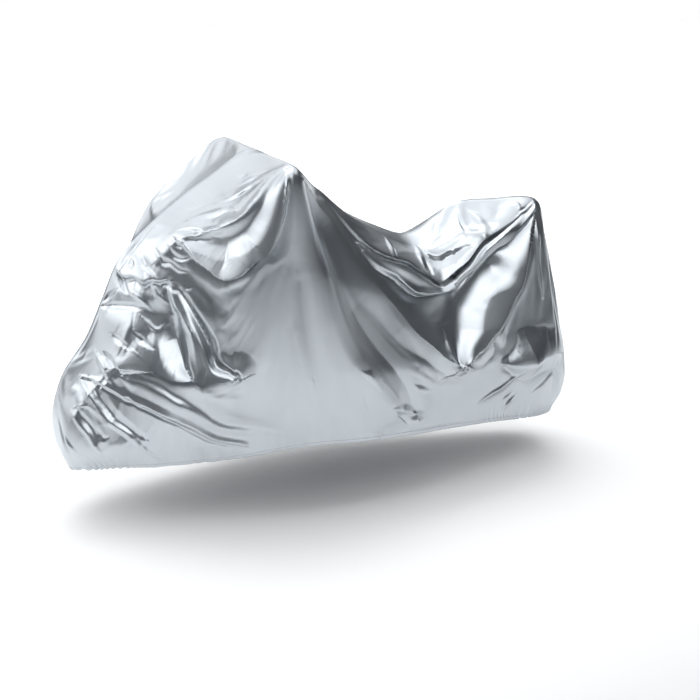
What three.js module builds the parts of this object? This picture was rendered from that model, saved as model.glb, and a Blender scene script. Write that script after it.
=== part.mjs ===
// A fitted motorcycle cover of thin silver-coated cloth, in the shape in which it hangs: hollow, with two
// peaks side by side near the front, a dip behind them and a raised tail. Two panels meet along the middle.
// Millimetres, +Z up. The cover's front points along -X, and the rider's left side along -Y.
// The origin lies at the middle of the cover's length and width, at the height of the hem's lowest point.
import * as THREE from "three";

// Driving dimensions
const PEAK_OUT = 350; // from the centre seam out to the peak of each side
const PEAK_TOP = 992; // height of the two peaks
const PEAK_X = -215; // where the left peak stands along the length
const DIP_TOP = 703; // the lowest point of the top line, in the dip
const TAIL_TOP = 800; // the top line over the tail
const NOSE_X = -908; // the furthest point of the front
const REAR_X = 900; // the furthest point of the back
const CLOTH = 2; // thickness of the sheet
const SEAM_GAP = 0.3; // the two side panels lie this far apart along the centre seam

// Sections of one side of the cover, from the front hem corner to the rear hem corner. Each runs down the
// cloth from the centre seam [x, z], over the ridge where the top turns into the side, and by the flank and
// the skirt to the hem. The last four are [x, distance out from the seam, z].
const SECTIONS = [
  { at: "front corner", seam: [-872, 50], ridge: [-871, 8, 50], flank: [-870, 13, 50],
    skirt: [-869, 18, 50], hem: [-868, 24, 50] },
  { at: "under the nose", seam: [-902, 122], ridge: [-889, 50, 108], flank: [-877, 68, 94],
    skirt: [-864, 79, 76], hem: [-850, 84, 57] },
  { at: "nose", seam: [NOSE_X, 215], ridge: [-880, 76, 182], flank: [-858, 100, 150],
    skirt: [-835, 112, 108], hem: [-810, 112, 63] },
  { at: "low front bulge", seam: [-868, 345], ridge: [-822, 98, 290], flank: [-790, 132, 228],
    skirt: [-762, 150, 150], hem: [-728, 146, 74] },
  { at: "high front bulge", seam: [-782, 468], ridge: [-735, 110, 405], flank: [-700, 156, 316],
    skirt: [-662, 184, 202], hem: [-612, 174, 80] },
  { at: "front waist", seam: [-722, 590], ridge: [-672, 116, 525], flank: [-622, 178, 412],
    skirt: [-580, 214, 258], hem: [-515, 200, 86] },
  { at: "brow", seam: [-668, 698], ridge: [-606, 106, 668], flank: [-552, 186, 525],
    skirt: [-500, 244, 320], hem: [-430, 228, 93] },
  { at: "lower face", seam: [-560, 806], ridge: [-482, 176, 796], flank: [-455, 238, 610],
    skirt: [-415, 284, 366], hem: [-350, 252, 105] },
  { at: "upper face", seam: [-400, 918], ridge: [-350, 292, 874], flank: [-342, 316, 690],
    skirt: [-320, 322, 405], hem: [-272, 280, 118] },
  { at: "peaks", seam: [-226, PEAK_TOP + 13], ridge: [PEAK_X, PEAK_OUT, PEAK_TOP],
    flank: [-216, 356, 720], skirt: [-210, 342, 415], hem: [-190, 302, 129] },
  { at: "behind the peaks", seam: [-120, 905], ridge: [-112, 234, 926], flank: [-125, 345, 690],
    skirt: [-120, 344, 400], hem: [-110, 312, 130] },
  { at: "slope", seam: [40, 806], ridge: [28, 146, 810], flank: [0, 296, 610],
    skirt: [0, 330, 365], hem: [0, 308, 121] },
  { at: "before the dip", seam: [170, 738], ridge: [160, 118, 733], flank: [125, 240, 540],
    skirt: [118, 304, 330], hem: [115, 292, 109] },
  { at: "dip", seam: [282, DIP_TOP], ridge: [280, 108, 672], flank: [262, 192, 492],
    skirt: [250, 268, 302], hem: [245, 272, 96] },
  { at: "after the dip", seam: [372, 752], ridge: [374, 112, 692], flank: [372, 180, 480],
    skirt: [368, 236, 288], hem: [362, 246, 84] },
  { at: "rise", seam: [440, 794], ridge: [452, 112, 716], flank: [458, 170, 478],
    skirt: [460, 214, 276], hem: [458, 220, 70] },
  { at: "tail front", seam: [585, TAIL_TOP], ridge: [590, 102, 708], flank: [580, 152, 468],
    skirt: [572, 186, 258], hem: [565, 184, 54] },
  { at: "tail tip", seam: [764, 782], ridge: [748, 74, 690], flank: [736, 124, 448],
    skirt: [724, 148, 238], hem: [706, 132, 28] },
  { at: "tail back", seam: [806, 662], ridge: [803, 66, 560], flank: [803, 114, 382],
    skirt: [796, 136, 206], hem: [780, 108, 13] },
  { at: "rear bulge", seam: [862, 450], ridge: [854, 68, 380], flank: [851, 102, 268],
    skirt: [846, 114, 152], hem: [824, 78, 5] },
  { at: "rear", seam: [REAR_X, 235], ridge: [893, 57, 180], flank: [886, 76, 124],
    skirt: [869, 76, 66], hem: [846, 46, 3] },
  { at: "rear corner", seam: [868, 8], ridge: [867, 7, 7], flank: [866, 11, 6],
    skirt: [865, 15, 5], hem: [864, 20, 4] },
];

// The right side hangs a little differently: its peak stands further forward, and the cloth in front of it
// is pulled tighter. These lines take the place of the ones above there.
const RIGHT_SIDE = [
  { at: "brow", ridge: [-622, 104, 706] },
  { at: "lower face", ridge: [-540, 184, 824] },
  { at: "upper face", ridge: [-404, 284, 918] },
  { at: "peaks", ridge: [PEAK_X - 43, PEAK_OUT - 4, PEAK_TOP - 3] },
  { at: "behind the peaks", ridge: [-128, 222, 900] },
];

// The main folds of each side. path is a fold's route over the cloth: x, distance out from the seam, z.
// height is how far it stands out of the cloth at the start, middle and end of the route, below zero for a
// trough. left and right are its widths to either side of the route as it runs over the rider's left side,
// and mirrored on the other side. taper scales those widths at the start and the end.
const LEFT_FOLDS = [
  { name: "hollow under the face", height: [-6, -24, -8], left: 34, right: 46, taper: [0.6, 1],
    path: [[-240, 345, 965], [-300, 330, 895], [-360, 290, 838], [-430, 235, 800], [-500, 170, 775]] },
  { name: "pouch under the hollow", height: [4, 28, 6], left: 34, right: 74, taper: [0.5, 1],
    path: [[-222, 352, 960], [-255, 350, 865], [-295, 335, 770], [-365, 300, 695], [-425, 250, 715],
      [-500, 165, 765]] },
  { name: "broad trough behind the peak", height: [-8, -26, -12], left: 60, right: 56, taper: [0.6, 1.2],
    path: [[-196, 345, 960], [-120, 330, 800], [-60, 325, 670], [35, 320, 450], [140, 300, 215]] },
  { name: "roll beside the trough", height: [8, 18, 8], left: 50, right: 58, taper: [0.6, 1.2],
    path: [[-182, 338, 950], [-80, 300, 810], [15, 285, 650], [130, 280, 450], [240, 275, 260]] },
  { name: "pocket edge from the peak", height: [8, 22, 34], left: 110, right: 50, taper: [0.6, 1],
    path: [[-160, 310, 940], [-80, 265, 840], [5, 245, 710], [100, 250, 568], [235, 240, 410],
      [384, 232, 292]] },
  { name: "pocket edge from the tail", height: [34, 24, 6], left: 120, right: 50, taper: [1, 0.5],
    path: [[384, 232, 292], [500, 188, 370], [588, 152, 468], [642, 132, 558], [712, 80, 706],
      [752, 20, 768]] },
  { name: "upper swag", height: [5, 24, 5], left: 66, right: 46, taper: [0.6, 0.6],
    path: [[-140, 280, 930], [-20, 190, 830], [80, 158, 745], [170, 152, 675], [262, 145, 615],
      [340, 150, 582], [420, 145, 622], [520, 112, 690], [640, 70, 740], [748, 22, 772]] },
  { name: "lower swag", height: [4, 20, 4], left: 56, right: 46, taper: [0.7, 0.6],
    path: [[0, 200, 765], [62, 192, 700], [130, 190, 630], [210, 180, 570], [300, 168, 542],
      [400, 160, 560], [500, 142, 615], [600, 105, 690], [742, 28, 766]] },
  { name: "upper flute", height: [8, 28, 26], left: 60, right: 54, taper: [0.7, 1],
    path: [[-545, 165, 640], [-502, 222, 525], [-490, 245, 368]] },
  { name: "lower flute", height: [6, 24, 26], left: 50, right: 56, taper: [0.6, 1],
    path: [[-540, 175, 630], [-448, 262, 455], [-392, 294, 384]] },
  { name: "ledge of the front", height: [8, 30, 26], left: 90, right: 46, taper: [1, 1],
    path: [[-690, 142, 408], [-590, 196, 392], [-488, 246, 366], [-388, 296, 382]] },
  { name: "hollow above the ledge", height: [-6, -18, -6], left: 40, right: 40, taper: [1, 1],
    path: [[-728, 75, 474], [-665, 135, 472], [-605, 172, 478], [-560, 182, 540]] },
  { name: "long fold off the nose", height: [10, 26, 8], left: 48, right: 44, taper: [1, 1],
    path: [[-752, 66, 440], [-722, 138, 350], [-660, 176, 304], [-600, 204, 258], [-510, 226, 204],
      [-375, 256, 142]] },
  { name: "short fold off the nose", height: [8, 20, 6], left: 42, right: 40, taper: [1, 1],
    path: [[-812, 80, 345], [-772, 134, 250], [-730, 156, 225], [-645, 184, 176]] },
  { name: "hollow of the tail side", height: [-5, -14, -8], left: 60, right: 50, taper: [0.6, 1.2],
    path: [[690, 90, 640], [660, 130, 480], [640, 155, 350]] },
  { name: "roll round the rear", height: [6, 14, 5], left: 36, right: 60, taper: [1, 1],
    path: [[600, 178, 236], [700, 152, 248], [800, 126, 250], [866, 92, 176]] },
];
const RIGHT_FOLDS = [
  { name: "hollow under the face", height: [-5, -20, -6], left: 46, right: 44, taper: [0.6, 1],
    path: [[-280, 340, 950], [-330, 322, 880], [-400, 270, 800], [-470, 215, 742]] },
  { name: "pouch under the hollow", height: [4, 24, 5], left: 46, right: 70, taper: [0.5, 1],
    path: [[-262, 350, 950], [-290, 345, 820], [-345, 318, 700], [-430, 262, 640], [-520, 190, 650]] },
  { name: "trough below the peak", height: [-4, -18, -8], left: 52, right: 52, taper: [0.4, 1.2],
    path: [[-246, 350, 950], [-240, 356, 700], [-200, 345, 420], [-175, 312, 200]] },
  { name: "trough behind the peak", height: [-4, -20, -10], left: 54, right: 52, taper: [0.4, 1.3],
    path: [[-222, 345, 950], [-130, 335, 740], [-30, 325, 520], [60, 316, 280]] },
  { name: "pocket edge from the peak", height: [4, 16, 26], left: 100, right: 46, taper: [0.4, 1],
    path: [[-170, 300, 925], [-60, 262, 790], [60, 258, 600], [180, 262, 430], [310, 246, 330]] },
  { name: "pocket edge from the tail", height: [26, 20, 4], left: 110, right: 46, taper: [1, 0.4],
    path: [[310, 246, 330], [430, 212, 362], [550, 166, 460], [650, 126, 590], [750, 20, 768]] },
  { name: "upper swag", height: [3, 20, 3], left: 66, right: 44, taper: [0.5, 0.5],
    path: [[-140, 260, 905], [0, 180, 810], [120, 160, 700], [230, 158, 622], [350, 155, 604],
      [480, 130, 650], [620, 80, 730], [745, 24, 772]] },
  { name: "flute down to the ledge", height: [5, 20, 18], left: 46, right: 50, taper: [0.6, 1],
    path: [[-570, 165, 600], [-520, 218, 480], [-470, 256, 340]] },
  { name: "ledge of the front", height: [6, 20, 16], left: 84, right: 46, taper: [1, 1],
    path: [[-700, 132, 420], [-610, 188, 372], [-500, 244, 330], [-400, 290, 350]] },
  { name: "long fold off the nose", height: [8, 18, 6], left: 42, right: 46, taper: [1, 1],
    path: [[-770, 70, 420], [-700, 156, 320], [-600, 206, 240], [-470, 236, 170], [-340, 262, 150]] },
  { name: "short fold off the nose", height: [6, 14, 5], left: 46, right: 46, taper: [1, 1],
    path: [[-830, 80, 310], [-780, 128, 220], [-690, 168, 160]] },
  { name: "hollow of the tail side", height: [-5, -14, -8], left: 56, right: 56, taper: [0.6, 1.2],
    path: [[720, 70, 660], [700, 120, 480], [690, 150, 300]] },
  { name: "roll round the rear", height: [5, 13, 5], left: 40, right: 56, taper: [1, 1],
    path: [[560, 184, 200], [680, 158, 226], [790, 130, 210], [856, 98, 140]] },
];

// The mesh of one panel: steps between two neighbouring sections, and steps down between its named lines
const STEPS_ALONG = 3;
const STEPS_DOWN = { ridge: 4, flank: 5, skirt: 5, hem: 4 };
const TURN = 0.6; // how round the cloth turns at a named line: 1 is the roundest, 0 is a sharp corner
const FADE_STEPS = 3; // the folds die out over this many steps beside the seam and at both ends

// The points that one section names, from the seam to the hem
function sectionPoints(section) {
  const seam = new THREE.Vector3(section.seam[0], 0, section.seam[1]);
  const named = [section.ridge, section.flank, section.skirt, section.hem];
  return [seam, ...named.map((point) => new THREE.Vector3(...point))];
}

// A point of the smooth line through a list of points, at a place counted in points from the first. round
// scales the slopes at the listed points.
function along(points, place, round) {
  const last = points.length - 1;
  const k = Math.min(Math.floor(place), last - 1);
  const f = place - k;
  const step = (i) => Math.sqrt(points[i + 1].distanceTo(points[i])) || 1;
  const slope = (i) => {
    if (i === 0) return points[1].clone().sub(points[0]).divideScalar(step(0));
    if (i === last) return points[i].clone().sub(points[i - 1]).divideScalar(step(i - 1));
    const before = points[i].clone().sub(points[i - 1]).divideScalar(step(i - 1));
    const after = points[i + 1].clone().sub(points[i]).divideScalar(step(i));
    const share = step(i) / (step(i - 1) + step(i));
    return before.multiplyScalar(share).addScaledVector(after, 1 - share);
  };
  const reach = step(k) * round;
  const near = points[k].clone().multiplyScalar(2 * f ** 3 - 3 * f ** 2 + 1);
  const far = points[k + 1].clone().multiplyScalar(3 * f ** 2 - 2 * f ** 3);
  const pull = slope(k).multiplyScalar((f ** 3 - 2 * f ** 2 + f) * reach);
  return near.add(far).add(pull).addScaledVector(slope(k + 1), (f ** 3 - f ** 2) * reach);
}

// The grid of points of one side: rows run along the cover, columns run down the cloth
function sideGrid(side) {
  const changes = side > 0 ? RIGHT_SIDE : [];
  const changeOf = (row) => changes.find((change) => change.at === row.at);
  const sections = SECTIONS.map((row) => ({ ...row, ...changeOf(row) }));
  const columns = sections.map(sectionPoints);
  const stepsDown = Object.values(STEPS_DOWN);
  const rails = columns[0].map((_, k) => columns.map((column) => column[k]));
  const rows = [];
  for (let i = 0; i <= (SECTIONS.length - 1) * STEPS_ALONG; i++) {
    const knots = rails.map((rail) => along(rail, i / STEPS_ALONG, 1));
    const row = [];
    stepsDown.forEach((steps, k) => {
      for (let j = 0; j < steps; j++) row.push(along(knots, k + j / steps, TURN));
    });
    row.push(knots[knots.length - 1]);
    rows.push(row);
  }
  return rows;
}

// How far one fold lifts a point of the cloth, given the cloth's outward direction there
function foldLift(fold, point, outward) {
  const spots = fold.path.map((spot) => new THREE.Vector3(...spot));
  const lengths = spots.slice(1).map((spot, i) => spot.distanceTo(spots[i]));
  const whole = lengths.reduce((sum, length) => sum + length, 0);
  let best = { gap: Infinity };
  let before = 0;
  lengths.forEach((length, i) => {
    const run = spots[i + 1].clone().sub(spots[i]);
    const part = THREE.MathUtils.clamp(point.clone().sub(spots[i]).dot(run) / length ** 2, 0, 1);
    const offset = point.clone().sub(spots[i]).addScaledVector(run, -part);
    offset.addScaledVector(outward, -offset.dot(outward));
    if (offset.length() < best.gap) {
      const leftward = run.clone().cross(outward);
      const onLeft = offset.dot(leftward) > 0;
      best = { gap: offset.length(), onLeft, place: (before + part * length) / whole };
    }
    before += length;
  });
  const { place } = best;
  const scale = THREE.MathUtils.lerp(fold.taper[0], fold.taper[1], place);
  const off = best.gap / (scale * (best.onLeft ? fold.left : fold.right));
  if (off >= 1) return 0;
  const [start, middle, end] = fold.height;
  const towardsMiddle = THREE.MathUtils.lerp(start, middle, 2 * place);
  const pastMiddle = THREE.MathUtils.lerp(middle, end, 2 * place - 1);
  const height = place < 0.5 ? towardsMiddle : pastMiddle;
  return height * (1 - off) ** 2 * (1 + 2 * off);
}

// The outward direction at each point of a grid
function outwardOf(grid) {
  const rows = grid.length;
  const down = grid[0].length;
  return grid.map((row, i) =>
    row.map((_, j) => {
      const a = grid[Math.min(i + 1, rows - 1)][j].clone().sub(grid[Math.max(i - 1, 0)][j]);
      const b = row[Math.min(j + 1, down - 1)].clone().sub(row[Math.max(j - 1, 0)]);
      return a.cross(b).normalize();
    }),
  );
}

// A panel as a closed sheet: the outer skin, the inner skin one cloth thickness inside it, and the strip
// round its edge. side is -1 for the rider's left and +1 for the right.
function panelGeometry(side) {
  const plain = sideGrid(side);
  const rows = plain.length;
  const down = plain[0].length;
  const folds = side > 0 ? RIGHT_FOLDS : LEFT_FOLDS;
  const plainNormals = outwardOf(plain);
  const lift = plain.map((row, i) =>
    row.map((p, j) => {
      const lifts = folds.map((fold) => foldLift(fold, p, plainNormals[i][j]));
      const fromEdge = Math.min(1, i / FADE_STEPS, (rows - 1 - i) / FADE_STEPS, j / FADE_STEPS);
      return fromEdge * (Math.max(0, ...lifts) + Math.min(0, ...lifts));
    }),
  );
  const moved = (grid, directions, distance) =>
    grid.map((row, i) => row.map((p, j) => p.clone().addScaledVector(directions[i][j], distance(i, j))));
  const outer = moved(plain, plainNormals, (i, j) => lift[i][j]);
  const inner = moved(outer, outwardOf(outer), () => -CLOTH);
  const positions = [];
  const put = (p, atSeam) => {
    const out = atSeam ? SEAM_GAP / 2 : Math.max(p.y, SEAM_GAP / 2);
    positions.push(p.x, side * out, p.z);
  };
  outer.forEach((row) => row.forEach((p, j) => put(p, j === 0)));
  inner.forEach((row) => row.forEach((p, j) => put(p, j === 0)));
  const index = [];
  const id = (layer, i, j) => layer * rows * down + i * down + j;
  const quad = (a, b, c, d) => (side < 0 ? index.push(a, b, c, a, c, d) : index.push(a, c, b, a, d, c));
  for (let i = 0; i < rows - 1; i++) {
    for (let j = 0; j < down - 1; j++) {
      const corners = [[i, j], [i, j + 1], [i + 1, j + 1], [i + 1, j]];
      // each cell is split along the diagonal whose ends are lifted alike, so that edges follow the folds
      const lifts = corners.map(([a, b]) => lift[a][b]);
      const turned = Math.abs(lifts[0] - lifts[2]) > Math.abs(lifts[1] - lifts[3]);
      if (turned) corners.push(corners.shift());
      quad(...corners.map(([a, b]) => id(0, a, b)));
      const back = [corners[0], corners[3], corners[2], corners[1]];
      quad(...back.map(([a, b]) => id(1, a, b)));
    }
  }
  for (let i = 0; i < rows - 1; i++) {
    quad(id(0, i, 0), id(0, i + 1, 0), id(1, i + 1, 0), id(1, i, 0));
    quad(id(0, i + 1, down - 1), id(0, i, down - 1), id(1, i, down - 1), id(1, i + 1, down - 1));
  }
  for (let j = 0; j < down - 1; j++) {
    quad(id(0, 0, j + 1), id(0, 0, j), id(1, 0, j), id(1, 0, j + 1));
    quad(id(0, rows - 1, j), id(0, rows - 1, j + 1), id(1, rows - 1, j + 1), id(1, rows - 1, j));
  }
  const geometry = new THREE.BufferGeometry();
  geometry.setAttribute("position", new THREE.Float32BufferAttribute(positions, 3));
  geometry.setIndex(index);
  geometry.computeVertexNormals();
  return geometry;
}

const cover = new THREE.Group();
for (const [name, side] of [["panel_left", -1], ["panel_right", 1]]) {
  const silver = new THREE.MeshStandardMaterial({ color: 0xb9c1c8, roughness: 0.35, metalness: 0.6 });
  const panel = new THREE.Mesh(panelGeometry(side), silver);
  panel.name = name;
  cover.add(panel);
}

export default cover;
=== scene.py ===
import math
from typing import NamedTuple

import bpy
import numpy as np
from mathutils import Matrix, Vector


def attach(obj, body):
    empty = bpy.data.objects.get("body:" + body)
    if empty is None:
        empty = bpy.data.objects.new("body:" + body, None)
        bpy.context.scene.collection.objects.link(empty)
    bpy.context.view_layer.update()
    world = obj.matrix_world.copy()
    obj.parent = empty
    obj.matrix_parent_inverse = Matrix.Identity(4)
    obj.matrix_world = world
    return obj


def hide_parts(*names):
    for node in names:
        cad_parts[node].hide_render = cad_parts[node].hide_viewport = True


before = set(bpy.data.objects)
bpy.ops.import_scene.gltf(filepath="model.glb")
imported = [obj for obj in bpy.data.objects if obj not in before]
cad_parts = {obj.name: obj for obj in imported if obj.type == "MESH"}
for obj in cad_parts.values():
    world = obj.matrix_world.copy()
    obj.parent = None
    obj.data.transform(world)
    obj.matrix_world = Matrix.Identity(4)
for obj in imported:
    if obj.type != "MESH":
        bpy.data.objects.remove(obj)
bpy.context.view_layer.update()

# The view
# The camera stands in front of the cover's left side and a little above it, and looks down along its
# length. Its place and lens give the proportions in which the cover is seen.
CAMERA_PLACE = (-1.010, -2.993, 1.479)
CAMERA_PITCH = 20.09
CAMERA_YAW = 20
LENS = 51.43
SENSOR = 36
camera = bpy.data.objects.new("camera", bpy.data.cameras.new("camera"))
camera.location = CAMERA_PLACE
camera.rotation_euler = (math.radians(90 - CAMERA_PITCH), 0, math.radians(-CAMERA_YAW))
camera.data.lens = LENS
camera.data.sensor_width = SENSOR
bpy.context.scene.collection.objects.link(camera)
bpy.context.scene.camera = camera

# The left side panel
# One piece of silver-coated polyester taffeta, about 0.1 mm thick, cut from the centre seam to the hem. It
# hangs from the peak, the top line and the tail in swags and flutes, and its hem is turned in over elastic.
MM = 0.001
PEAK_OUT = 350
PEAK_TOP = 992
PEAK_X = -215
DIP_TOP = 703
TAIL_TOP = 800
NOSE_X = -908
REAR_X = 900

# How the cloth hangs: sections of one side from the front hem corner to the rear hem corner, each from the
# centre seam [x, z] by the ridge, the flank and the skirt to the hem, all [x, distance out, z] in mm
SECTIONS = [
    {"at": "front corner", "seam": (-872, 50), "ridge": (-871, 8, 50), "flank": (-870, 13, 50),
     "skirt": (-869, 18, 50), "hem": (-868, 24, 50)},
    {"at": "under the nose", "seam": (-902, 122), "ridge": (-889, 50, 108), "flank": (-877, 68, 94),
     "skirt": (-864, 79, 76), "hem": (-850, 84, 57)},
    {"at": "nose", "seam": (NOSE_X, 215), "ridge": (-880, 76, 182), "flank": (-858, 100, 150),
     "skirt": (-835, 112, 108), "hem": (-810, 112, 63)},
    {"at": "low front bulge", "seam": (-868, 345), "ridge": (-822, 98, 290), "flank": (-790, 132, 228),
     "skirt": (-762, 150, 150), "hem": (-728, 146, 74)},
    {"at": "high front bulge", "seam": (-782, 468), "ridge": (-735, 110, 405), "flank": (-700, 156, 316),
     "skirt": (-662, 184, 202), "hem": (-612, 174, 80)},
    {"at": "front waist", "seam": (-722, 590), "ridge": (-672, 116, 525), "flank": (-622, 178, 412),
     "skirt": (-580, 214, 258), "hem": (-515, 200, 86)},
    {"at": "brow", "seam": (-668, 698), "ridge": (-606, 106, 668), "flank": (-552, 186, 525),
     "skirt": (-500, 244, 320), "hem": (-430, 228, 93)},
    {"at": "lower face", "seam": (-560, 806), "ridge": (-482, 176, 796), "flank": (-455, 238, 610),
     "skirt": (-415, 284, 366), "hem": (-350, 252, 105)},
    {"at": "upper face", "seam": (-400, 918), "ridge": (-350, 292, 874), "flank": (-342, 316, 690),
     "skirt": (-320, 322, 405), "hem": (-272, 280, 118)},
    {"at": "peaks", "seam": (-226, PEAK_TOP + 13), "ridge": (PEAK_X, PEAK_OUT, PEAK_TOP),
     "flank": (-216, 356, 720), "skirt": (-210, 342, 415), "hem": (-190, 302, 129)},
    {"at": "behind the peaks", "seam": (-120, 905), "ridge": (-112, 234, 926), "flank": (-125, 345, 690),
     "skirt": (-120, 344, 400), "hem": (-110, 312, 130)},
    {"at": "slope", "seam": (40, 806), "ridge": (28, 146, 810), "flank": (0, 296, 610),
     "skirt": (0, 330, 365), "hem": (0, 308, 121)},
    {"at": "before the dip", "seam": (170, 738), "ridge": (160, 118, 733), "flank": (125, 240, 540),
     "skirt": (118, 304, 330), "hem": (115, 292, 109)},
    {"at": "dip", "seam": (282, DIP_TOP), "ridge": (280, 108, 672), "flank": (262, 192, 492),
     "skirt": (250, 268, 302), "hem": (245, 272, 96)},
    {"at": "after the dip", "seam": (372, 752), "ridge": (374, 112, 692), "flank": (372, 180, 480),
     "skirt": (368, 236, 288), "hem": (362, 246, 84)},
    {"at": "rise", "seam": (440, 794), "ridge": (452, 112, 716), "flank": (458, 170, 478),
     "skirt": (460, 214, 276), "hem": (458, 220, 70)},
    {"at": "tail front", "seam": (585, TAIL_TOP), "ridge": (590, 102, 708), "flank": (580, 152, 468),
     "skirt": (572, 186, 258), "hem": (565, 184, 54)},
    {"at": "tail tip", "seam": (764, 782), "ridge": (748, 74, 690), "flank": (736, 124, 448),
     "skirt": (724, 148, 238), "hem": (706, 132, 28)},
    {"at": "tail back", "seam": (806, 662), "ridge": (803, 66, 560), "flank": (803, 114, 382),
     "skirt": (796, 136, 206), "hem": (780, 108, 13)},
    {"at": "rear bulge", "seam": (862, 450), "ridge": (854, 68, 380), "flank": (851, 102, 268),
     "skirt": (846, 114, 152), "hem": (824, 78, 5)},
    {"at": "rear", "seam": (REAR_X, 235), "ridge": (893, 57, 180), "flank": (886, 76, 124),
     "skirt": (869, 76, 66), "hem": (846, 46, 3)},
    {"at": "rear corner", "seam": (868, 8), "ridge": (867, 7, 7), "flank": (866, 11, 6),
     "skirt": (865, 15, 5), "hem": (864, 20, 4)},
]


class Fold(NamedTuple):
    """A fold that hangs in the cloth, with all its sizes in mm.
    path is the route of its crest over the cloth. For each place on it, the table gives the x where the cloth
    below the place meets the hem, and how far down the cloth from the centre seam the place lies.
    lift is how far the crest stands out of the cloth at the start, middle and end of the route, below zero
    for a trough. left and right are its widths on the two sides of the route, as seen from outside the left
    panel. taper is what share of them is left at the start and at the end.
    A fold with a sink has a tuck beside it, as far to the right of the crest as gap says, or to the left
    below zero. lean pushes the crest that far over its tuck.
    crisp is 1 for a sharp crease and 0 for a soft roll."""
    name: str
    lift: tuple
    left: float
    right: float
    path: list
    sink: tuple = None
    gap: float = 0
    lean: float = 0
    crisp: float = 0.8
    taper: tuple = (0.4, 0.6)


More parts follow.
